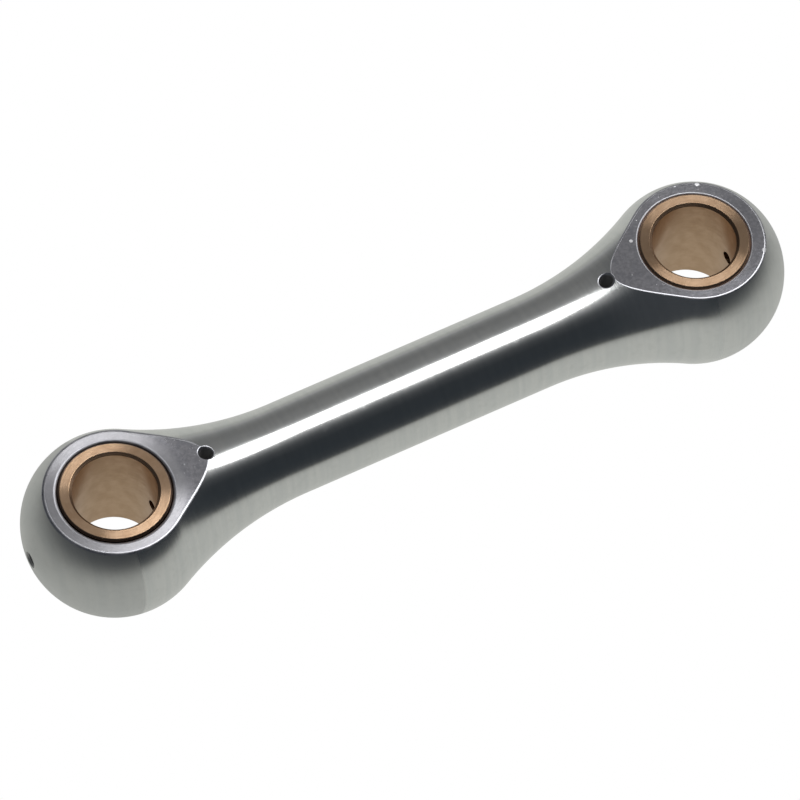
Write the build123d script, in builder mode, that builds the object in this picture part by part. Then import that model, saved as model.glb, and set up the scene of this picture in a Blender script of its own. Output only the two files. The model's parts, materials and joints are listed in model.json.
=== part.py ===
from build123d import *

import os
from math import sqrt
from typing import NamedTuple

# Connecting rod of a small engine, in millimetres: a turned and milled aluminium rod
# with a bronze bush pressed into each end.
# Origin: centre of the crank-pin bore at mid-thickness. +X runs to the piston-pin end,
# +Z along both bores.

# Driving dimensions of the whole rod.
CENTRE_DISTANCE = 46.0
SHANK_DIAMETER = 6.8

# Oil holes: one lengthwise from each tip into the neck, one from above that meets it there.
OIL_HOLE_DIAMETER = 1.0
OIL_HOLE_MOUTH_DIAMETER = 1.3


class RodEnd(NamedTuple):
    """Sizes of one end of the rod."""

    bush_name: str
    bore_x: float
    outward: int  # -1 or +1: from the bore to the tip, along X
    pin_bore: float
    bush_diameter: float
    bush_proud: float  # how far each bush face stands out of the flat
    bush_inner_chamfer: float
    bush_outer_chamfer: float
    housing_lip_round: float
    thickness: float  # across the two flats
    ball_diameter: float
    ball_offset: float  # how far the ball's centre lies beyond the bore's
    neck_radius: float
    oil_hole_distance: float  # from the bore to the hole in the flat, towards the shank


CRANK_END = RodEnd(
    bush_name="crank_end_bush",
    bore_x=0.0,
    outward=-1,
    pin_bore=6.0,
    bush_diameter=8.0,
    bush_proud=0.1,
    bush_inner_chamfer=0.2,
    bush_outer_chamfer=0.15,
    housing_lip_round=0.3,
    thickness=8.6,
    ball_diameter=13.2,
    ball_offset=0.0,
    neck_radius=24.0,
    oil_hole_distance=7.1,
)
PISTON_END = RodEnd(
    bush_name="piston_end_bush",
    bore_x=CENTRE_DISTANCE,
    outward=1,
    pin_bore=6.0,
    bush_diameter=8.0,
    bush_proud=0.1,
    bush_inner_chamfer=0.2,
    bush_outer_chamfer=0.15,
    housing_lip_round=0.15,
    thickness=8.6,
    ball_diameter=13.0,
    ball_offset=0.2,
    neck_radius=23.0,
    oil_hole_distance=7.1,
)
ENDS = (CRANK_END, PISTON_END)


class EndProfile(NamedTuple):
    """Points of one end's turned half-profile, as (x, radius)."""

    tip: tuple
    crown: tuple
    shoulder: tuple  # where the ball runs into the neck
    neck_end: tuple  # where the neck runs into the shank
    neck_centre: tuple


def turned_profile(end):
    """Ball, and the concave neck that is tangent to the ball and to the shank."""
    ball_radius = end.ball_diameter / 2
    ball_x = end.bore_x + end.outward * end.ball_offset
    neck_centre_height = SHANK_DIAMETER / 2 + end.neck_radius
    centres = ball_radius + end.neck_radius
    reach = sqrt(centres**2 - neck_centre_height**2)
    share = ball_radius / centres
    neck_x = ball_x - end.outward * reach
    return EndProfile(
        tip=(ball_x + end.outward * ball_radius, 0),
        crown=(ball_x, ball_radius),
        shoulder=(ball_x - end.outward * reach * share, neck_centre_height * share),
        neck_end=(neck_x, SHANK_DIAMETER / 2),
        neck_centre=(neck_x, neck_centre_height),
    )


def oil_hole_mouth(end):
    """X and height of the upper oil hole's mouth: on the flat, or on the neck past its tip."""
    mouth_x = end.bore_x - end.outward * end.oil_hole_distance
    neck_x, neck_height = turned_profile(end).neck_centre
    neck_top = neck_height - sqrt(end.neck_radius**2 - (mouth_x - neck_x) ** 2)
    return mouth_x, min(end.thickness / 2, neck_top)


def lip_round(end):
    """Rounding of the housing mouth, which leaves half of the flat ring round the bush."""
    ring = sqrt((end.ball_diameter / 2) ** 2 - (end.thickness / 2) ** 2) - end.bush_diameter / 2
    return min(end.housing_lip_round, ring / 2)


def mid_plane(end):
    """Plane through the bore's centre, square to the bore."""
    return Plane(origin=(end.bore_x, 0, 0))


def flat_plane(end, face):
    """Plane of one flat, over the bore, facing away from the rod: face is -1 or +1."""
    return Plane(origin=(end.bore_x, 0, face * end.thickness / 2), z_dir=(0, 0, face))


with BuildPart() as rod_body:
    # Turned blank: ball, neck, shank, neck, ball.
    with BuildSketch(Plane.XZ):
        with BuildLine():
            for end in ENDS:
                curve = turned_profile(end)
                ThreePointArc(curve.tip, curve.crown, curve.shoulder)
                TangentArc(curve.neck_end, curve.shoulder, tangent=(end.outward, 0))
            crank_curve, piston_curve = turned_profile(CRANK_END), turned_profile(PISTON_END)
            Line(crank_curve.neck_end, piston_curve.neck_end)
            Line(crank_curve.tip, piston_curve.tip)
        make_face()
    revolve(axis=Axis.X)

    # Two flats milled on each end, out to the middle of the rod.
    for end in ENDS:
        for face in (1, -1):
            with BuildSketch(flat_plane(end, face)):
                Rectangle(CENTRE_DISTANCE, 2 * end.ball_diameter)
            extrude(amount=end.ball_diameter / 2, mode=Mode.SUBTRACT)

    # Housing bores, with rounded mouths.
    for end in ENDS:
        with BuildSketch(mid_plane(end)):
            Circle(end.bush_diameter / 2)
        extrude(amount=end.thickness, both=True, mode=Mode.SUBTRACT)
        housing_wall = rod_body.faces(Select.LAST).filter_by(GeomType.CYLINDER)
        fillet(housing_wall.edges().filter_by(GeomType.CIRCLE), lip_round(end))

    # Oil holes.
    hole_radius, mouth_radius = OIL_HOLE_DIAMETER / 2, OIL_HOLE_MOUTH_DIAMETER / 2
    for end in ENDS:
        mouth_x, mouth_height = oil_hole_mouth(end)
        tip_x = turned_profile(end).tip[0]
        with Locations(Plane(origin=(tip_x, 0, 0), z_dir=(end.outward, 0, 0))):
            CounterSinkHole(hole_radius, mouth_radius, depth=abs(tip_x - mouth_x))
        with Locations((mouth_x, 0, mouth_height)):
            CounterSinkHole(hole_radius, mouth_radius, depth=mouth_height)

rod_body.part.label = "rod_body"
rod_body.part.color = Color(0.62, 0.63, 0.65)


def make_bush(end):
    """Bronze bush of one end, in place, with the lengthwise oil hole through both walls."""
    with BuildPart() as bush:
        with BuildSketch(mid_plane(end)):
            Circle(end.bush_diameter / 2)
            Circle(end.pin_bore / 2, mode=Mode.SUBTRACT)
        extrude(amount=end.thickness / 2 + end.bush_proud, both=True)
        rims = bush.edges().filter_by(GeomType.CIRCLE).group_by(SortBy.RADIUS)
        chamfer(rims[0], length=end.bush_inner_chamfer)
        chamfer(rims[-1], length=end.bush_outer_chamfer)
        with BuildSketch(Plane(origin=(end.bore_x, 0, 0), z_dir=(1, 0, 0))):
            Circle(OIL_HOLE_DIAMETER / 2)
        extrude(amount=end.bush_diameter, both=True, mode=Mode.SUBTRACT)
    bush.part.label = end.bush_name
    bush.part.color = Color(0.72, 0.53, 0.36)
    return bush.part


os.makedirs("parts", exist_ok=True)
export_step(rod_body.part, "parts/rod_body.step")
for end in ENDS:
    export_step(make_bush(end), f"parts/{end.bush_name}.step")
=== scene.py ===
"""Connecting rod of a small engine: a polished aluminium rod with a bronze bush in each end.

The origin is the centre of the crank end's bore. +X runs to the piston end, and +Z along both bores.
Lengths are in millimetres until an object is made, but for the floor's and the lamp's, in metres.
"""

import json
import math

import bpy
import numpy as np
from mathutils import Matrix, Vector


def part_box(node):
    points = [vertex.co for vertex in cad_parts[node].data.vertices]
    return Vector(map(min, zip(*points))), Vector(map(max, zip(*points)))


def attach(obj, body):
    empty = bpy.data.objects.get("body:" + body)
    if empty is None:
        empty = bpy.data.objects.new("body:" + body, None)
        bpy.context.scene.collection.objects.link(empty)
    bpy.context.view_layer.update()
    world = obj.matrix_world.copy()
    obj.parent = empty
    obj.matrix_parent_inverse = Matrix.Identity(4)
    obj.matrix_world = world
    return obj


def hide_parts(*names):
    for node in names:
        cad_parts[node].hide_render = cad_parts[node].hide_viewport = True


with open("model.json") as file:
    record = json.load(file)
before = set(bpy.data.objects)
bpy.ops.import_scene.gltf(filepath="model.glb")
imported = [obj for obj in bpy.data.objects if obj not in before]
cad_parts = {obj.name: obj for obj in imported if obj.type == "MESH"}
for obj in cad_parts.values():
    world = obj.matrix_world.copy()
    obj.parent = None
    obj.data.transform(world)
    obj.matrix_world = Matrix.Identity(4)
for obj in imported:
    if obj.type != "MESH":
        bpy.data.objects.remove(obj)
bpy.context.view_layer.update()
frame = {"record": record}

# ---------------------------------------------------------------- sizes, in mm
MM = 0.001  # one millimetre in metres
MOUNTS = {mount["name"]: mount for mount in frame["record"]["mounts"]}

FLAT_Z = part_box("rod_body")[1].z / MM  # height of the flats above the rod's middle
SHANK_R = 3.4

OIL_R = 0.5
OIL_MOUTH_R = 0.65
COUNTERSINK = math.radians(41)  # half of the countersink's angle
MOUTH_ROUND = 0.15  # rounding of the upper oil holes' mouths
MOUTH_TURN = 80  # degrees that the rounding turns through, out from the hole's wall
MOUTH_OVERRUN = 0.08  # carries its last slope on past the surface
APART = 0.011  # keeps the two oil holes' walls from touching along a line
DRILL_PROUD = 1.0  # how far a cutter stands out of the metal

BUSH_INNER_CHAMFER = 0.2
BUSH_OUTER_CHAMFER = 0.15
BUSH_GAP = 0.002  # keeps a bush's outside off its housing

# Knocks on the flats: x, y and radius.
KNOCKS = (
    (50.13, -2.88, 0.24),
    (41.99, 2.04, 0.17),
    (48.5, 4.15, 0.2),
    (-4.44, 2.74, 0.15),
)

# Faint smudges on the shank: place and radius.
SMUDGES = (
    ((15.9, -1.6, 3.0), 0.55),
    ((19.0, -1.1, 3.2), 0.35),
    ((31.0, -1.2, 3.2), 0.4),
)


class RodEnd:
    """One end of the rod: ball, neck, flats and bore. Its outward direction is -1 or +1 along X."""

    def __init__(self, node, bore, outward, ball_r, ball_offset, neck_r, lip, edge, oil_distance):
        low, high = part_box(node)
        self.node = node
        self.bore_x = MOUNTS[bore]["pos_m"][0] / MM
        self.pin_r = MOUNTS[bore]["dims"]["r_mm"]
        self.bush_r = (high.y - low.y) / 2 / MM
        self.bush_z = high.z / MM
        self.outward = outward
        self.ball_r = ball_r
        self.ball_x = self.bore_x + outward * ball_offset
        self.tip_x = self.ball_x + outward * ball_r
        self.neck_r = neck_r
        self.neck_z = SHANK_R + neck_r  # height of the neck's centre of curvature
        self.reach = math.sqrt((ball_r + neck_r) ** 2 - self.neck_z**2)  # from the ball's centre to the shank
        self.shank_x = self.ball_x - outward * self.reach  # where the neck runs into the shank
        self.lip = lip  # rounding of the housing's mouth
        self.edge = edge  # burnished rounding of the flat's outer edge
        self.mouth_x = self.bore_x - outward * oil_distance  # the upper oil hole

    def profile(self, x, inset=0.0):
        """Radius of the turned blank, with its normal along X and outwards, all inset by a distance."""
        ball, neck = self.ball_r - inset, self.neck_r + inset
        inward = self.outward * (self.ball_x - x)  # from the ball's centre towards the shank
        if inward <= self.reach * ball / (self.ball_r + self.neck_r):
            r = math.sqrt(max(ball**2 - inward**2, 0.0))
            return r, -self.outward * inward / ball, r / ball
        if inward < self.reach:
            short = self.reach - inward
            rise = math.sqrt(neck**2 - short**2)
            return self.neck_z - rise, -self.outward * short / neck, rise / neck
        return SHANK_R - inset, 0.0, 1.0


CRANK = RodEnd(
    "crank_end_bush",
    "crank_pin_bore",
    outward=-1,
    ball_r=6.6,
    ball_offset=0.0,
    neck_r=24.0,
    lip=0.3,
    edge=0.3,
    oil_distance=7.1,
)
PISTON = RodEnd(
    "piston_end_bush",
    "piston_pin_bore",
    outward=1,
    ball_r=6.5,
    ball_offset=0.2,
    neck_r=23.0,
    lip=0.15,
    edge=0.22,
    oil_distance=7.1,
)
ENDS = (CRANK, PISTON)
MIDDLE_X = (CRANK.bore_x + PISTON.bore_x) / 2


# ---------------------------------------------------------------- mesh building
UP = np.array([0.0, 0.0, 1.0])
WELD_DECIMALS = 5  # corners that agree to so many decimals are one vertex
ARC_STEPS = 6  # quads across a rounded edge of the rod
DRILL_SIDES = 64
MOUTH_STEPS = 8  # quads down the rounding of an upper oil hole's mouth
BUSH_SIDES = 256


def add_object(name, data):
    obj = bpy.data.objects.new(name, data)
    bpy.context.scene.collection.objects.link(obj)
    return obj


def unit(vector):
    return vector / np.linalg.norm(vector)


def fan(first, last, steps):
    """Unit vectors that turn evenly from first to last."""
    angle = math.acos(min(1.0, float(first @ last)))
    shares = [k / steps for k in range(steps + 1)]
    return [unit(first * math.sin((1 - share) * angle) + last * math.sin(share * angle)) for share in shares]


def faces_inwards(quads):
    """Whether quads that close a space look into it: the volume that they enclose is then negative."""
    a, b, c, d = (quads - quads.reshape(-1, 3).mean(0)).transpose(1, 0, 2)
    return np.sum(a * (np.cross(b, c) + np.cross(c, d))) < 0


class Builder:
    """Collects quads with a normal at each corner and a material number, then makes the mesh."""

    def __init__(self):
        self.points, self.normals, self.materials = [], [], []

    def grid(self, points, normals, material, flip=False):
        """Adds a grid of quads from (rows, columns, 3) arrays."""

        def corners(values):
            values = np.asarray(values, float)
            ring = [values[:-1, :-1], values[1:, :-1], values[1:, 1:], values[:-1, 1:]]
            if flip:
                ring.reverse()
            return np.stack(ring, axis=2).reshape(-1, 4, 3)

        self.points.append(corners(points))
        self.normals.append(corners(normals))
        self.materials.append(np.full(len(self.points[-1]), material))

    def mirror(self, axis):
        """Adds a copy mirrored in the plane through the origin that is square to axis."""
        sign = np.ones(3)
        sign[axis] = -1
        for group in (self.points, self.normals):
            group += [(quads * sign)[:, ::-1] for quads in group]
        self.materials += [numbers.copy() for numbers in self.materials]

    def make(self, name, materials):
        """Makes one object, with corners that meet joined into one vertex."""
        points = np.concatenate(self.points)
        normals = np.concatenate(self.normals)
        numbers = np.concatenate(self.materials)
        if faces_inwards(points):
            points, normals = points[:, ::-1], normals[:, ::-1]
        corners = points.reshape(-1, 3)
        rounded = np.round(corners, WELD_DECIMALS)
        first, vertex = np.unique(rounded, axis=0, return_index=True, return_inverse=True)[1:]
        faces, face_numbers, corner_normals = [], [], []
        for quad, quad_normals, number in zip(vertex.reshape(-1, 4).tolist(), normals, numbers.tolist()):
            kept = [i for i, v in enumerate(quad) if v not in quad[:i]]
            if len(kept) > 2:
                faces.append([quad[i] for i in kept])
                face_numbers.append(number)
                corner_normals.extend(quad_normals[kept])
        mesh = bpy.data.meshes.new(name)
        mesh.from_pydata((corners[first] * MM).tolist(), [], faces)
        mesh.polygons.foreach_set("material_index", np.array(face_numbers, np.int32))
        for material in materials:
            mesh.materials.append(material)
        attribute = mesh.attributes.new("corner_normal", "FLOAT_VECTOR", "CORNER")
        attribute.data.foreach_set("vector", np.array(corner_normals, np.float32).ravel())
        return add_object(name, mesh)


def lathe(builder, profile, axis, centre, sides, material):
    """Turns a list of (along, radius, normal along, normal outwards) about a line through centre."""
    turn = np.linspace(0, 2 * math.pi, sides + 1)
    turn[-1] = 0.0
    along, across, over = {"X": (0, 1, 2), "Z": (2, 0, 1)}[axis]
    profile = np.array(profile)
    points = np.zeros((len(profile), sides + 1, 3))
    normals = np.zeros_like(points)
    for target, pair in ((points, profile[:, :2]), (normals, profile[:, 2:])):
        target[..., along] = pair[:, :1]
        target[..., across] = pair[:, 1:] * np.cos(turn)
        target[..., over] = pair[:, 1:] * np.sin(turn)
    builder.grid(points + np.asarray(centre, float), normals, material)


def spans(corners, radii, steps=4):
    """Straights and arcs of a line through corners of (along, radius), rounded where a radius isn't 0.

    Each is a list of (along, radius, normal along, normal outwards). The normal is on the left of the
    direction of travel. The first and last corners aren't rounded.
    """

    def left_of(direction):
        return np.array([-direction[1], direction[0]])

    corners = [np.array(corner, float) for corner in corners]
    start, found = corners[0], []
    for i in range(1, len(corners)):
        direction = unit(corners[i] - corners[i - 1])
        left = left_of(direction)
        if radii[i] == 0:
            found.append([(*start, *left), (*corners[i], *left)])
            start = corners[i]
            continue
        onward = unit(corners[i + 1] - corners[i])
        back = radii[i] * math.tan(math.acos(float(direction @ onward)) / 2)
        stop = corners[i] - direction * back
        found.append([(*start, *left), (*stop, *left)])
        side = 1 if float(left @ onward) > 0 else -1
        centre = stop + left * radii[i] * side
        normals = fan(left, left_of(onward), steps)
        found.append([(*(centre - normal * radii[i] * side), *normal) for normal in normals])
        start = corners[i] + onward * back
    return found


def facing_right(span):
    """The same span with its normals on the right of the direction of travel."""
    return [(along, radius, -normal_along, -outwards) for along, radius, normal_along, outwards in span]


def cut(obj, cutter):
    """Takes cutter away from obj, and removes cutter."""
    modifier = obj.modifiers.new("cut", "BOOLEAN")
    modifier.operation = "DIFFERENCE"
    modifier.solver = "EXACT"
    modifier.material_mode = "INDEX"
    modifier.object = cutter
    graph = bpy.context.evaluated_depsgraph_get()
    mesh = bpy.data.meshes.new_from_object(obj.evaluated_get(graph), depsgraph=graph)
    obj.modifiers.clear()
    old = obj.data
    mesh.name = old.name
    obj.data = mesh
    bpy.data.meshes.remove(old)
    bpy.data.meshes.remove(cutter.data)


def set_normals(obj):
    """Makes the normals that were kept at each corner the mesh's own.

    Where a cut left none, or one that leans far from its face, the face's normal takes its place.
    """
    mesh = obj.data
    attribute = mesh.attributes["corner_normal"]
    kept = np.zeros(len(mesh.loops) * 3, np.float32)
    attribute.data.foreach_get("vector", kept)
    kept = kept.reshape(-1, 3).astype(float)
    flat = np.zeros_like(kept)
    for polygon in mesh.polygons:
        flat[polygon.loop_start : polygon.loop_start + polygon.loop_total] = polygon.normal
    length = np.linalg.norm(kept, axis=1)
    along_face_normal = np.einsum("ij,ij->i", kept, flat)
    lost = (length < 0.5) | (along_face_normal < 0.3 * length)
    kept[lost] = flat[lost]
    kept /= np.linalg.norm(kept, axis=1)[:, None]
    mesh.attributes.remove(attribute)
    mesh.polygons.foreach_set("use_smooth", np.ones(len(mesh.polygons), bool))
    mesh.normals_split_custom_set(kept.tolist())
    mesh.update()


# ---------------------------------------------------------------- node trees
class Nodes:
    """Short calls for a node tree."""

    def __init__(self, tree):
        self.tree = tree
        tree.nodes.clear()

    def add(self, kind, inputs, **settings):
        """Adds a node with its settings, and its inputs by name or number."""
        node = self.tree.nodes.new("ShaderNode" + kind)
        for name, value in settings.items():
            setattr(node, name, value)
        for name, value in inputs.items():
            self.put(node.inputs[name], value)
        return node

    def put(self, socket, value):
        """Links a socket, or a node's first output, or sets the number or colour."""
        if isinstance(value, bpy.types.NodeSocket):
            self.tree.links.new(value, socket)
        elif isinstance(value, bpy.types.Node):
            self.tree.links.new(value.outputs[0], socket)
        else:
            socket.default_value = value

    def math(self, operation, *values):
        return self.add("Math", dict(enumerate(values)), operation=operation).outputs[0]

    def plus(self, a, b):
        return self.math("ADD", a, b)

    def minus(self, a, b):
        return self.math("SUBTRACT", a, b)

    def times(self, a, b):
        return self.math("MULTIPLY", a, b)

    def vector(self, operation, a, b):
        return self.add("VectorMath", {0: a, 1: b}, operation=operation).outputs["Vector"]

    def scale(self, vector, factor):
        return self.add("VectorMath", {0: vector, "Scale": factor}, operation="SCALE").outputs["Vector"]

    def distance(self, a, b):
        return self.add("VectorMath", {0: a, 1: b}, operation="DISTANCE").outputs["Value"]

    def xyz(self, vector):
        """The three sockets of a vector's parts."""
        return self.add("SeparateXYZ", {0: vector}).outputs

    def combine(self, x, y):
        return self.add("CombineXYZ", {0: x, 1: y}).outputs[0]

    def noise(self, vector, scale, detail=2.0, roughness=0.5):
        inputs = {"Vector": vector, "Scale": scale, "Detail": detail, "Roughness": roughness}
        return self.add("TexNoise", inputs).outputs[0]

    def remap(self, value, low, high, to_low=0.0, to_high=1.0):
        """Runs smoothly from to_low to to_high as value goes from low to high."""
        inputs = {0: value, 1: low, 2: high, 3: to_low, 4: to_high}
        return self.add("MapRange", inputs, interpolation_type="SMOOTHSTEP").outputs[0]

    def mix(self, factor, a, b):
        """Mixes two colours."""
        return self.add("Mix", {0: factor, 6: a, 7: b}, data_type="RGBA").outputs[2]

    def choose(self, factor, a, b):
        """Mixes two numbers."""
        return self.add("Mix", {0: factor, 2: a, 3: b}, data_type="FLOAT").outputs[0]

    def bump(self, height, distance, strength, below=None):
        """Normal of a surface raised by height times a distance in metres, over another bump if given."""
        inputs = {"Height": height, "Distance": distance, "Strength": strength}
        if below:
            inputs["Normal"] = below
        return self.add("Bump", inputs).outputs[0]


# ---------------------------------------------------------------- materials
QUARTER_TURN = 0.25  # anisotropic rotation that stretches reflections across the tool's marks
CHANGE_FROM, CHANGE_TO = 15.0, 30.0  # along the shank, where one end's finish runs into the other's


def new_material(name):
    material = bpy.data.materials.new(name)
    material.use_nodes = True
    return material, Nodes(material.node_tree)


def metal(n, colour, roughness, normal, metallic=1.0):
    """Shader of a bare metal surface, linked to the material's output."""
    inputs = {"Base Color": colour, "Roughness": roughness, "Normal": normal, "Metallic": metallic}
    shader = n.add("BsdfPrincipled", inputs)
    n.add("OutputMaterial", {0: shader})
    return shader


def brush(n, shader, amount, along, rotation=QUARTER_TURN):
    """Gives a shader fine tool marks: round the X or Z axis, or along a vector socket."""
    if isinstance(along, str):
        along = n.add("Tangent", {}, direction_type="RADIAL", axis=along)
    shader.inputs["Anisotropic"].default_value = amount
    shader.inputs["Anisotropic Rotation"].default_value = rotation
    n.put(shader.inputs["Tangent"], along)


def millimetres(n):
    """Object coordinates in millimetres."""
    return n.scale(n.add("TexCoord", {}).outputs["Object"], 1 / MM)


def by_end(n, where, at_crank, at_piston):
    """One value at the crank end and another at the piston end."""
    return n.remap(n.xyz(where)[0], CHANGE_FROM, CHANGE_TO, at_crank, at_piston)


def about_bore(n, where, crank_offset=0.0, crank_swirl=0.0):
    """Distance from the nearer bore's centre line, and the direction round it.

    At the crank end, crank_offset moves the centre towards the shank, and crank_swirl turns the
    direction outwards by that slope.
    """
    x, y, _ = n.xyz(where)
    at_piston = n.math("GREATER_THAN", x, MIDDLE_X)
    along = n.minus(x, n.choose(at_piston, CRANK.bore_x + crank_offset, PISTON.bore_x))
    distance = n.math("SQRT", n.plus(n.times(along, along), n.times(y, y)))
    swirl = n.times(n.minus(1.0, at_piston), crank_swirl)
    round_it = n.combine(n.times(y, -1.0), along)
    outwards = n.combine(n.times(along, swirl), n.times(y, swirl))
    return distance, n.vector("ADD", round_it, outwards)


def knocked(n, where, colour, rough):
    """Adds small bright knocks to the colour and roughness of the flats and their edges."""
    level = n.vector("MULTIPLY", where, (1.0, 1.0, 0.0))
    for x, y, radius in KNOCKS:
        spot = n.remap(n.distance(level, (x, y, 0.0)), radius * 0.5, radius, 1.0, 0.0)
        colour = n.mix(spot, colour, (0.95, 0.95, 0.97, 1))
        rough = n.plus(rough, n.times(spot, 0.35))
    return colour, rough


def polished_aluminium():
    """Turned and polished, with a matt zone on each ball and faint smudges on the shank."""
    material, n = new_material("polished_aluminium_turned")
    where = millimetres(n)
    round_the_rod = n.vector("MULTIPLY", where, (1.0, 0.04, 0.04))
    marks = n.noise(round_the_rod, 9.0, 3.0, 0.6)
    bands = n.noise(round_the_rod, 2.2, 2.0, 0.5)
    patches = n.noise(where, 0.35, 3.0, 0.55)
    haze = n.noise(where, 1.6, 4.0, 0.6)

    x = n.xyz(where)[0]
    crank_zone = n.remap(x, CRANK.bore_x - 0.95, CRANK.bore_x - 0.75, 1.0, 0.0)
    crank_fade = n.remap(x, CRANK.bore_x - 0.9, CRANK.bore_x + 5.0, 0.5, 0.0)
    piston_zone = n.remap(x, PISTON.bore_x - 3.5, PISTON.bore_x + 1.5)
    matt = n.math("MAXIMUM", n.math("MAXIMUM", crank_zone, crank_fade), piston_zone)
    polish = n.minus(1.0, matt)

    streaks = n.plus(n.remap(marks, 0.3, 0.7, -0.015, 0.015), n.remap(patches, 0.3, 0.7, 0.0, 0.04))
    streaks = n.times(streaks, n.times(polish, polish))
    clouds = n.times(matt, n.remap(haze, 0.3, 0.7, 0.18, 0.2))
    clouds = n.plus(clouds, n.times(n.math("GREATER_THAN", matt, 0.55), 0.035))
    rough = n.plus(n.plus(streaks, clouds), 0.15)
    for place, radius in SMUDGES:
        spot = n.remap(n.distance(where, place), radius * 0.3, radius, 0.09, 0.0)
        rough = n.plus(rough, n.times(spot, n.remap(haze, 0.4, 0.6)))

    colour = n.mix(n.remap(bands, 0.3, 0.7), (0.64, 0.655, 0.65, 1), (0.68, 0.69, 0.68, 1))
    colour = n.mix(n.remap(haze, 0.45, 0.8, 0.0, 0.35), colour, (0.56, 0.57, 0.56, 1))
    colour = n.mix(n.times(crank_zone, 0.28), colour, (0.30, 0.305, 0.305, 1))
    brush(n, metal(n, colour, rough, n.bump(marks, 0.000004, 1.0)), 0.5, "X")
    return material


def lapped_aluminium():
    """Faced round the bores and lapped: mottled, with circular marks left at the crank end."""
    material, n = new_material("polished_aluminium_lapped")
    where = millimetres(n)
    distance = about_bore(n, where)[0]
    marks_distance, marks_direction = about_bore(n, where, crank_offset=1.2, crank_swirl=-0.26)
    mottle = n.noise(where, 1.1, 5.0, 0.65)
    fine = n.noise(where, 5.0, 3.0, 0.6)
    grooves = n.noise(n.combine(marks_distance, n.noise(where, 0.25, 1.0)), 6.0, 3.0, 0.7)
    specks = n.remap(n.noise(where, 3.3, 2.0, 0.6), 0.70, 0.76)
    at_crank = by_end(n, where, 1.0, 0.0)
    marked = n.times(at_crank, n.remap(distance, 5.2, 6.0, 1.0, 0.3))
    rubbed = n.times(at_crank, n.remap(distance, 4.7, 5.3, 1.0, 0.0))  # a ring next to the bush

    rough = n.plus(n.remap(mottle, 0.3, 0.7, 0.085, 0.13), n.times(marked, 0.208))
    rough = n.plus(rough, n.times(specks, 0.2))
    rough = n.plus(rough, n.times(rubbed, 0.035))
    colour = n.mix(n.remap(fine, 0.35, 0.65), (0.38, 0.38, 0.41, 1), (0.49, 0.485, 0.52, 1))
    colour = n.mix(n.remap(mottle, 0.48, 0.68, 0.0, 0.7), colour, (0.31, 0.315, 0.35, 1))
    colour = n.mix(specks, colour, (0.75, 0.75, 0.78, 1))
    colour = n.mix(n.times(rubbed, 0.6), colour, (0.60, 0.595, 0.62, 1))
    # painted light: the crank end's flats are brightened to stand in for more light falling there
    colour = n.scale(colour, by_end(n, where, 1.15, 1.0))
    colour, rough = knocked(n, where, colour, rough)

    normal = n.bump(mottle, 0.000010, 0.7, n.bump(fine, 0.000004, 0.8))
    normal = n.bump(n.times(grooves, marked), 0.000005, 1.0, normal)
    brush(n, metal(n, colour, rough, normal), 0.9, marks_direction)
    return material


def drilled_aluminium():
    """Walls of the oil holes, dulled by oil and swarf."""
    material, n = new_material("polished_aluminium_drilled")
    grain = n.noise(millimetres(n), 8.0, 3.0, 0.6)
    rough = n.remap(grain, 0.3, 0.7, 0.42, 0.55)
    colour = n.mix(grain, (0.40, 0.40, 0.40, 1), (0.58, 0.58, 0.57, 1))
    metal(n, colour, rough, n.bump(grain, 0.00001, 0.8), metallic=0.4)
    return material


def worn_edge_and_gap_shadow():
    """Burnished edges of the flats, and housing mouths with painted shadow in the gap next to the bush."""
    material, n = new_material("polished_aluminium_edge")
    where = millimetres(n)
    distance = about_bore(n, where)[0]
    height = n.math("ABSOLUTE", n.xyz(where)[2])
    wear = n.noise(where, 1.1, 4.0, 0.65)
    mouth_r = CRANK.bush_r + 0.4  # just past both ends' housing mouths
    mouth = n.times(n.remap(distance, mouth_r - 0.04, mouth_r, 1.0, 0.0), n.remap(height, 3.0, 3.5))
    # painted shadow deep in the housing mouth, in the gap next to the bush, darkest at the crank end
    gap_shadow_mask = n.times(mouth, n.remap(height, FLAT_Z - 0.16, FLAT_Z - 0.02, 1.0, 0.0))
    gap_shadow_colour = n.mix(by_end(n, where, 0.0, 1.0), (0.045, 0.035, 0.03, 1), (0.19, 0.14, 0.12, 1))

    rough = n.plus(n.remap(wear, 0.3, 0.7, 0.27, 0.38), n.times(mouth, 0.12))
    colour = n.mix(n.remap(wear, 0.3, 0.7), (0.50, 0.505, 0.54, 1), (0.66, 0.66, 0.69, 1))
    colour = n.mix(n.times(mouth, 0.25), colour, (0.36, 0.355, 0.38, 1))
    colour, rough = knocked(n, where, colour, rough)
    # paints that shadow over the mouth's colour
    colour = n.mix(gap_shadow_mask, colour, gap_shadow_colour)
    metal(n, colour, rough, n.bump(wear, 0.00002, 0.6))
    return material


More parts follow.
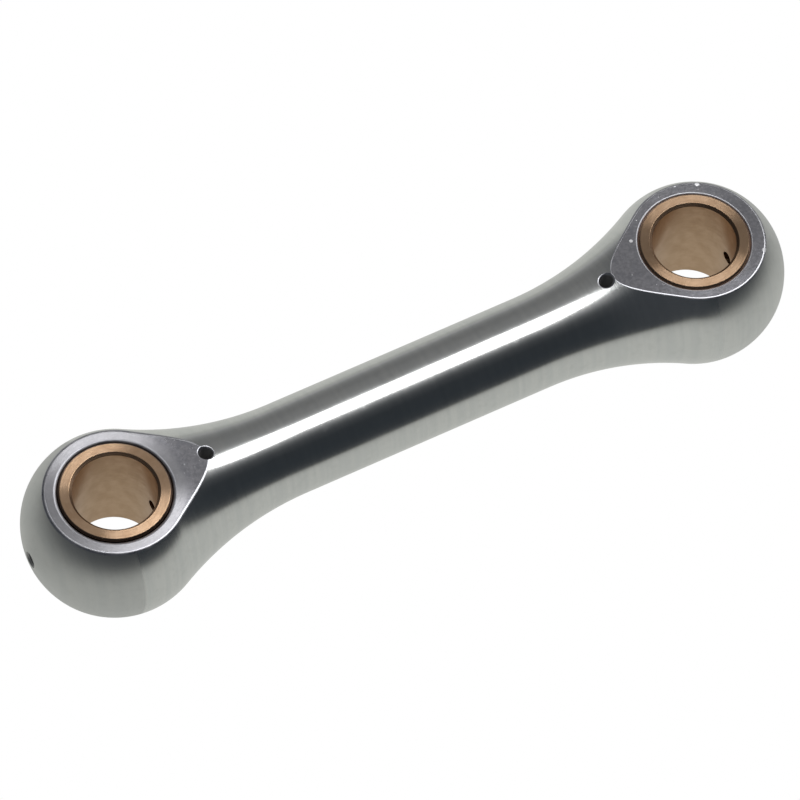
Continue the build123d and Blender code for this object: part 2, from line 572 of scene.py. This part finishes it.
def faced_bronze(name, end, painted_brightness, turn, gap_shadow):
    """Turned face of a bush, with the lathe's circular marks, painted shadow in the gap at its outer edge
    and painted darkening on its inner chamfer.

    The brightness factor is painted light: it brightens or darkens the whole bronze to stand in for how
    much light falls on each end's bush. turn is how far the reflections lean from square to the marks,
    and the last colour is that of the painted shadow at the outer edge.
    """
    material, n = new_material(name)
    where = millimetres(n)
    radius = n.distance(n.vector("MULTIPLY", where, (1.0, 1.0, 0.0)), (0.0, 0.0, 0.0))
    grooves = n.noise(n.combine(radius, n.times(n.noise(where, 0.3), 0.3)), 14.0, 2.0, 0.6)
    tint = n.noise(where, 1.2, 3.0, 0.6)
    inner_edge = end.pin_r + BUSH_INNER_CHAMFER
    outer_edge = end.bush_r - BUSH_OUTER_CHAMFER
    chamfer = n.remap(radius, inner_edge - 0.05, inner_edge, 1.0, 0.0)
    # the outer edge where it meets the housing, which gets the painted shadow of the gap
    gap_shadow_mask = n.remap(radius, outer_edge - 0.01, outer_edge + 0.07)

    rough = n.plus(n.remap(grooves, 0.3, 0.7, 0.17, 0.23), n.times(chamfer, 0.08))
    # painted light: the brightness factor lightens or darkens the whole bronze for how brightly each bush is
    # lit
    dull, bright = (np.array(bronze) * painted_brightness for bronze in ((0.57, 0.375, 0.235), (0.66, 0.45, 0.295)))
    colour = n.mix(n.remap(tint, 0.3, 0.7), (*dull, 1), (*bright, 1))
    # painted shadow in the gap at the bush's outer edge
    colour = n.mix(gap_shadow_mask, colour, gap_shadow)
    # painted shadow on the inner chamfer, which faces away from the light
    colour = n.mix(n.times(chamfer, 0.6), colour, (0.27, 0.17, 0.11, 1))
    shader = metal(n, colour, rough, n.bump(grooves, 0.000004, 0.7))
    brush(n, shader, 1.0, "Z", QUARTER_TURN + turn)
    return material


def bored_bronze():
    """Bored wall of a bush, with marks that run round it."""
    material, n = new_material("bearing_bronze_bored")
    where = millimetres(n)
    marks = n.noise(n.vector("MULTIPLY", where, (0.15, 0.15, 1.0)), 9.0, 3.0, 0.6)
    tint = n.noise(where, 0.9, 3.0, 0.6)
    rough = n.remap(marks, 0.3, 0.7, 0.28, 0.4)
    colour = n.mix(n.remap(tint, 0.3, 0.7), (0.47, 0.315, 0.195, 1), (0.54, 0.375, 0.245, 1))
    brush(n, metal(n, colour, rough, n.bump(marks, 0.000006, 0.7)), 0.3, "Z")
    return material


ROD_MATERIALS = [polished_aluminium(), lapped_aluminium(), drilled_aluminium(), worn_edge_and_gap_shadow()]
POLISHED, LAPPED, DRILLED, EDGE = range(4)

BORED_BRONZE = bored_bronze()
# The crank's bush is brightened and the piston's darkened as painted light; the last colour is each bush's
# painted shadow in the gap at its outer edge.
CRANK_FACE = faced_bronze("bearing_bronze_crank_face", CRANK, 1.15, 0.006, (0.16, 0.10, 0.07, 1))
PISTON_FACE = faced_bronze("bearing_bronze_piston_face", PISTON, 0.72, 0.039, (0.33, 0.205, 0.135, 1))
BUSH_MATERIALS = {CRANK: [CRANK_FACE, BORED_BRONZE], PISTON: [PISTON_FACE, BORED_BRONZE]}
FACED, BORED = range(2)


# ---------------------------------------------------------------- the rod
UPRIGHT = math.pi / 2  # angle of the turned surface's top, where no flat cuts it
FINE_STATIONS = 4001  # for measuring along a flat's edge
OUTLINE_STATIONS = 220
FLAT_STEPS = 3
CAP_STATIONS = 22
NECK_STATIONS = 40
SHANK_STATIONS = 30
QUARTER_SIDES = 26


def outline(end, count):
    """Points (x, y) along half of a flat's edge, evenly spaced from the tip to the neck.

    They are the centres of the edge's rounding, where the inset blank is as high as the inset flat.
    """
    level = FLAT_Z - end.edge

    def half_width(x):
        r = end.profile(x, end.edge)[0]
        return math.sqrt(max(r * r - level * level, 0.0))

    start = end.ball_x + end.outward * math.sqrt((end.ball_r - end.edge) ** 2 - level**2)
    stop = end.shank_x + end.outward * math.sqrt((end.neck_r + end.edge) ** 2 - (end.neck_z - level) ** 2)
    x = start + (stop - start) * (1 - np.cos(np.linspace(0, math.pi, FINE_STATIONS))) / 2
    y = np.array([half_width(station) for station in x])
    y[0] = y[-1] = 0.0
    run = np.concatenate([[0], np.cumsum(np.hypot(np.diff(x), np.diff(y)))])
    stations = np.interp(np.linspace(0, run[-1], count), run, x)
    inner = [(station, half_width(station)) for station in stations[1:-1]]
    return [(stations[0], 0.0), *inner, (stations[-1], 0.0)]


def edge_rounding(end, x, y):
    """Points and normals across the rounding of a flat's edge, from the turned surface to the flat."""
    level = FLAT_Z - end.edge
    r, along, outwards = end.profile(x, end.edge)
    turned = unit(np.array([along, outwards * y / r, outwards * level / r]))
    normals = fan(turned, UP, ARC_STEPS)
    return [np.array([x, y, level]) + end.edge * normal for normal in normals], normals


def housing_wall(end, ray):
    """Points and normals down a housing, over its rounded mouth and to the rod's middle, along a ray."""
    points, normals = [], []
    for k in range(ARC_STEPS + 1):
        angle = k / ARC_STEPS * math.pi / 2
        out = end.bush_r + end.lip * (1 - math.sin(angle))
        drop = end.lip * (1 - math.cos(angle))
        points.append(np.array([end.bore_x, 0.0, FLAT_Z - drop]) + out * ray)
        normals.append(math.cos(angle) * UP - math.sin(angle) * ray)
    for share in (0.5, 0.0):
        points.append(np.array([end.bore_x, 0.0, (FLAT_Z - end.lip) * share]) + end.bush_r * ray)
        normals.append(-ray)
    return points, normals


def finish_end(quarter, end):
    """Adds an end's edge rounding, flat and housing, and gives the stations of its turned surface.

    A station is (x, angle): the surface goes up from the side to that angle, which follows the flat's
    edge where there is one. The stations run from the tip to the shank.
    """
    edges, edge_normals, flats, walls, wall_normals, stations = [], [], [], [], [], []
    for x, y in outline(end, OUTLINE_STATIONS):
        points, normals = edge_rounding(end, x, y)
        edges.append(points)
        edge_normals.append(normals)
        contact, rim = points[0], points[-1]
        stations.append((contact[0], math.atan2(contact[2], contact[1])))
        ray = unit(np.array([x - end.bore_x, y, 0.0]))
        points, normals = housing_wall(end, ray)
        walls.append(points)
        wall_normals.append(normals)
        flats.append([rim + (points[0] - rim) * k / FLAT_STEPS for k in range(FLAT_STEPS + 1)])
    flip = end.outward < 0
    quarter.grid(edges, edge_normals, EDGE, flip)
    quarter.grid(flats, np.broadcast_to(UP, np.shape(flats)), LAPPED, flip)
    quarter.grid(walls, wall_normals, EDGE, flip)

    first, last = stations[0][0], stations[-1][0]
    opening = math.acos((first - end.ball_x) * end.outward / end.ball_r)
    turn = np.linspace(0, opening, CAP_STATIONS)[:-1]
    cap = [(end.ball_x + end.outward * end.ball_r * math.cos(a), UPRIGHT) for a in turn]
    neck = [(x, UPRIGHT) for x in np.linspace(last, end.shank_x, NECK_STATIONS)[1:]]
    return cap + [(first, UPRIGHT), *stations[1:-1], (last, UPRIGHT)] + neck


def quarter_rod():
    """The quarter of the rod with Y and Z positive."""
    quarter = Builder()
    crank, piston = (finish_end(quarter, end) for end in ENDS)
    shank = np.linspace(CRANK.shank_x, PISTON.shank_x, SHANK_STATIONS)[1:-1]
    points, normals = [], []
    for x, top in crank + [(x, UPRIGHT) for x in shank] + piston[::-1]:
        end = CRANK if x < MIDDLE_X else PISTON
        r, along, outwards = end.profile(x)
        angle = np.linspace(0, top, QUARTER_SIDES)
        side, rise = np.cos(angle), np.sin(angle)
        points.append(np.stack([np.full_like(angle, x), r * side, r * rise], axis=1))
        normals.append(np.stack([np.full_like(angle, along), outwards * side, outwards * rise], axis=1))
    points = np.array(points)
    points[np.abs(points) < 1e-9] = 0.0  # exactly on the mirror planes
    quarter.grid(points, normals, POLISHED, flip=True)
    return quarter


def upper_hole_cutter(end):
    """Drill for the hole from above to the rod's middle, with a trumpet mouth that follows the surface."""
    drill = Builder()
    turn = np.linspace(0, 2 * math.pi, DRILL_SIDES + 1)
    turn[-1] = 0.0

    def surface(x, y):
        """Height of the rod's upper side."""
        r = end.profile(x)[0]
        return min(FLAT_Z, math.sqrt(r * r - y * y))

    def ring(radius, up, out, lift=0.0, level=None):
        """Points round the drill, lifted off the surface or at a level, and normals.

        up and out are the normal's parts away from the surface and away from the drill's axis.
        """
        points, normals, step = [], [], 0.05
        for t in turn:
            x, y = end.mouth_x + radius * math.cos(t), radius * math.sin(t)
            points.append((x, y, surface(x, y) + lift if level is None else level))
            slope_x = (surface(x + step, y) - surface(x - step, y)) / (2 * step)
            slope_y = (surface(x, y + step) - surface(x, y - step)) / (2 * step)
            normal = (out * math.cos(t) - up * slope_x, out * math.sin(t) - up * slope_y, up)
            normals.append(unit(np.array(normal)))
        return points, normals

    def band(lower, upper, material):
        drill.grid([lower[0], upper[0]], [lower[1], upper[1]], material)

    wall_r = OIL_R - APART
    mouth = []  # radius, up, out and lift of each ring of the trumpet
    for angle in np.radians(np.linspace(0, MOUTH_TURN, MOUTH_STEPS + 1)):
        sine, cosine = math.sin(angle), math.cos(angle)
        mouth.append((wall_r + MOUTH_ROUND * (1 - cosine), sine, -cosine, MOUTH_ROUND * (sine - 1)))
    radius, up, out, lift = mouth[-1]
    mouth.append((radius + MOUTH_OVERRUN * up, up, out, lift - MOUTH_OVERRUN * out))
    mouth_r = mouth[-1][0]
    top = surface(end.mouth_x, 0.0) + DRILL_PROUD

    band(ring(0.0, 1, 0, level=-APART), ring(wall_r, 1, 0, level=-APART), DRILLED)
    band(ring(wall_r, 0, -1, level=-APART), ring(wall_r, 0, -1, mouth[0][3]), DRILLED)
    for lower, upper in zip(mouth[:-1], mouth[1:]):
        band(ring(*lower), ring(*upper), EDGE)
    band(ring(mouth_r, 0, -1, mouth[-1][3]), ring(mouth_r, 0, -1, level=top), EDGE)
    band(ring(mouth_r, -1, 0, level=top), ring(0.0, -1, 0, level=top), EDGE)
    return drill.make("drill", ROD_MATERIALS)


def tip_hole_cutter(end):
    """Countersunk drill along X, from outside the tip to the upper hole's axis."""
    cone = (OIL_MOUTH_R - OIL_R) / math.tan(COUNTERSINK)
    depth = abs(end.tip_x - end.mouth_x) + APART
    corners = [
        (DRILL_PROUD, 0.0),
        (DRILL_PROUD, OIL_MOUTH_R),
        (0.0, OIL_MOUTH_R),
        (-cone, OIL_R),
        (-depth, OIL_R),
        (-depth, 0.0),
    ]
    drill = Builder()
    for span in spans(corners, [0] * len(corners)):
        # Left of the direction of travel is into the drill, which is where the hole's wall faces.
        placed = [(end.outward * p[0], p[1], end.outward * p[2], p[3]) for p in span]
        lathe(drill, placed, "X", (end.tip_x, 0, 0), DRILL_SIDES, DRILLED)
    return drill.make("drill", ROD_MATERIALS)


def build_rod():
    builder = quarter_rod()
    builder.mirror(1)
    builder.mirror(2)
    rod = builder.make("rod", ROD_MATERIALS)
    for end in ENDS:
        cut(rod, tip_hole_cutter(end))
        cut(rod, upper_hole_cutter(end))
    set_normals(rod)
    return rod


# ---------------------------------------------------------------- the bushes
def build_bush(end, name):
    """Turned bush about its own origin, with the lengthwise oil hole through both walls."""
    z, inner, outer = end.bush_z, end.pin_r, end.bush_r - BUSH_GAP
    corners = [
        (0.0, inner),
        (z - BUSH_INNER_CHAMFER, inner),
        (z, inner + BUSH_INNER_CHAMFER),
        (z, outer - BUSH_OUTER_CHAMFER),
        (z - BUSH_OUTER_CHAMFER, outer),
        (0.0, outer),
    ]
    softening = [0, 0.04, 0.03, 0.03, 0.04, 0]
    turned = Builder()
    for i, span in enumerate(spans(corners, softening)):
        lathe(turned, facing_right(span), "Z", (0, 0, 0), BUSH_SIDES, BORED if i == 0 else FACED)
    turned.mirror(2)
    bush = turned.make(name, BUSH_MATERIALS[end])

    reach = end.bush_r + DRILL_PROUD
    drill = Builder()
    for span in spans([(-reach, 0.0), (-reach, OIL_R), (reach, OIL_R), (reach, 0.0)], [0] * 4):
        lathe(drill, facing_right(span), "X", (0, 0, 0), DRILL_SIDES, BORED)
    cut(bush, drill.make("drill", BUSH_MATERIALS[end]))
    set_normals(bush)
    bush.location = Vector((end.bore_x * MM, 0, 0))
    return bush


rod = build_rod()
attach(rod, "root")
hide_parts("rod_body")
for end, name in ((CRANK, "crank_bush"), (PISTON, "piston_bush")):
    bush = build_bush(end, name)
    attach(bush, "root")
    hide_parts(end.node)


# ---------------------------------------------------------------- floor, lamp and room, in metres
LAMP_HEIGHT = 0.2
LAMP_RADIANCE = 3.0


def lamp_y(degrees):
    """Place of the lamp's edge along Y, seen so many degrees up from the front horizon and over."""
    return math.tan(math.radians(degrees - 90)) * LAMP_HEIGHT


LAMP_LEFT, LAMP_RIGHT = 0.005, 0.25  # along X
LAMP_NEAR, LAMP_FAR = lamp_y(83.5), lamp_y(111)  # along Y

FLOOR_SIZE = 6.0
FLOOR_LIGHT = 0.61  # strength at the brightest point
FLOOR_BRIGHTEST = (0.035, 0.02)  # X and Y of that point

# Light of the room over the object, from the front horizon to the back: degrees, red, green, blue.
ROOM = (
    (0, 0.080, 0.085, 0.090),
    (9, 0.042, 0.047, 0.053),
    (25, 0.034, 0.040, 0.047),
    (50, 0.034, 0.039, 0.045),
    (64, 0.060, 0.064, 0.070),
    (72, 0.12, 0.125, 0.13),
    (79, 0.30, 0.30, 0.31),
    (84, 0.50, 0.50, 0.50),
    (96, 0.60, 0.60, 0.60),
    (110, 0.50, 0.50, 0.50),
    (116, 0.32, 0.32, 0.32),
    (125, 0.25, 0.25, 0.25),
    (150, 0.20, 0.20, 0.20),
    (160, 0.21, 0.21, 0.21),
    (170, 0.28, 0.28, 0.28),
    (180, 0.48, 0.48, 0.48),
)
ROOM_SIDES = (0.055, 0.060, 0.068, 1)  # past the ends of that light, to the left and right


def make_floor():
    """White to the camera from above, clear from below, and a soft emitter to the object."""
    z = -CRANK.ball_r * MM
    corners = [(x * FLOOR_SIZE, y * FLOOR_SIZE, z) for x, y in ((-1, -1), (1, -1), (1, 1), (-1, 1))]
    mesh = bpy.data.meshes.new("floor")
    mesh.from_pydata(corners, [], [(0, 1, 2, 3)])
    material, n = new_material("floor_white")
    where = n.add("TexCoord", {}).outputs["Object"]
    ratio = n.math("DIVIDE", n.distance(where, (*FLOOR_BRIGHTEST, z)), LAMP_HEIGHT)
    fall = n.math("POWER", n.plus(n.times(ratio, ratio), 1.0), -2.0)  # as under a small lamp
    far = n.times(n.minus(1.0, fall), n.remap(n.xyz(where)[1], 0.0, 0.3, 0.08, 0.45))
    light = n.plus(n.times(fall, FLOOR_LIGHT), far)
    lit = n.add("Emission", {"Color": (1.0, 1.01, 0.96, 1), "Strength": light})
    white = n.add("Emission", {"Color": (1, 1, 1, 1), "Strength": 1.0})
    seen = n.add("LightPath", {}).outputs["Is Camera Ray"]
    top = n.add("MixShader", {0: seen, 1: lit, 2: white})
    clear = n.add("BsdfTransparent", {})
    under = n.add("NewGeometry", {}).outputs["Backfacing"]
    n.add("OutputMaterial", {0: n.add("MixShader", {0: under, 1: top, 2: clear})})
    mesh.materials.append(material)
    add_object("floor", mesh)


def make_lamp():
    """Oval softbox overhead, which looks straight down."""
    width, depth = LAMP_RIGHT - LAMP_LEFT, LAMP_FAR - LAMP_NEAR
    data = bpy.data.lights.new("overhead_softbox", "AREA")
    data.shape = "ELLIPSE"
    data.size, data.size_y = width, depth
    data.energy = LAMP_RADIANCE * math.pi * (math.pi / 4 * width * depth)
    lamp = add_object("overhead_softbox", data)
    lamp.location = ((LAMP_LEFT + LAMP_RIGHT) / 2, (LAMP_NEAR + LAMP_FAR) / 2, LAMP_HEIGHT)
    lamp.visible_camera = False


def make_world():
    """White to the camera, and the room's soft light to the object."""
    world = bpy.data.worlds.new("studio")
    bpy.context.scene.world = world
    world.use_nodes = True
    n = Nodes(world.node_tree)
    x, y, z = n.xyz(n.add("TexCoord", {}).outputs["Generated"])
    turn = n.math("DIVIDE", n.math("ARCTAN2", z, n.times(y, -1.0)), math.pi)
    ramp = n.add("ValToRGB", {0: turn})
    elements = ramp.color_ramp.elements
    while len(elements) < len(ROOM):
        elements.new(0.5)
    for element, (degrees, *colour) in zip(elements, ROOM):
        element.position = degrees / 180
        element.color = (*colour, 1.0)
    between = n.times(n.remap(x, -0.37, -0.02), n.remap(x, 0.8, 0.97, 1.0, 0.0))
    room = n.mix(between, ROOM_SIDES, ramp)
    seen = n.add("LightPath", {}).outputs["Is Camera Ray"]
    sky = n.add("Background", {"Color": n.mix(seen, room, (1, 1, 1, 1)), "Strength": 1.0})
    n.add("OutputWorld", {0: sky})


# ---------------------------------------------------------------- camera
CAMERA_AZIMUTH, CAMERA_ELEVATION, CAMERA_ROLL = -31.1063, 58.4543, 3.8024  # degrees
CAMERA_DISTANCE, CAMERA_RIGHT, CAMERA_UP = 618.447, -0.384, -0.193  # mm, from the rod's middle
LENS, SENSOR_WIDTH = 394.53327, 36.0  # mm


def make_camera():
    azimuth, elevation, roll = (math.radians(v) for v in (CAMERA_AZIMUTH, CAMERA_ELEVATION, CAMERA_ROLL))
    level = Vector((math.cos(azimuth), math.sin(azimuth), 0))
    ground = math.cos(elevation)
    back = Vector((math.sin(azimuth) * ground, -math.cos(azimuth) * ground, math.sin(elevation)))
    upright = back.cross(level)
    right = level * math.cos(roll) + upright * math.sin(roll)
    up = upright * math.cos(roll) - level * math.sin(roll)
    place = back * CAMERA_DISTANCE + right * CAMERA_RIGHT + up * CAMERA_UP + Vector((MIDDLE_X, 0, 0))
    data = bpy.data.cameras.new("camera")
    data.sensor_width = SENSOR_WIDTH
    data.lens = LENS
    data.clip_start, data.clip_end = 0.01, 50.0
    camera = add_object("camera", data)
    camera.matrix_world = Matrix.Translation(place * MM) @ Matrix((right, up, back)).transposed().to_4x4()
    bpy.context.scene.camera = camera


make_floor()
make_world()
make_camera()
make_lamp()
bpy.context.scene.view_settings.view_transform = "Standard"
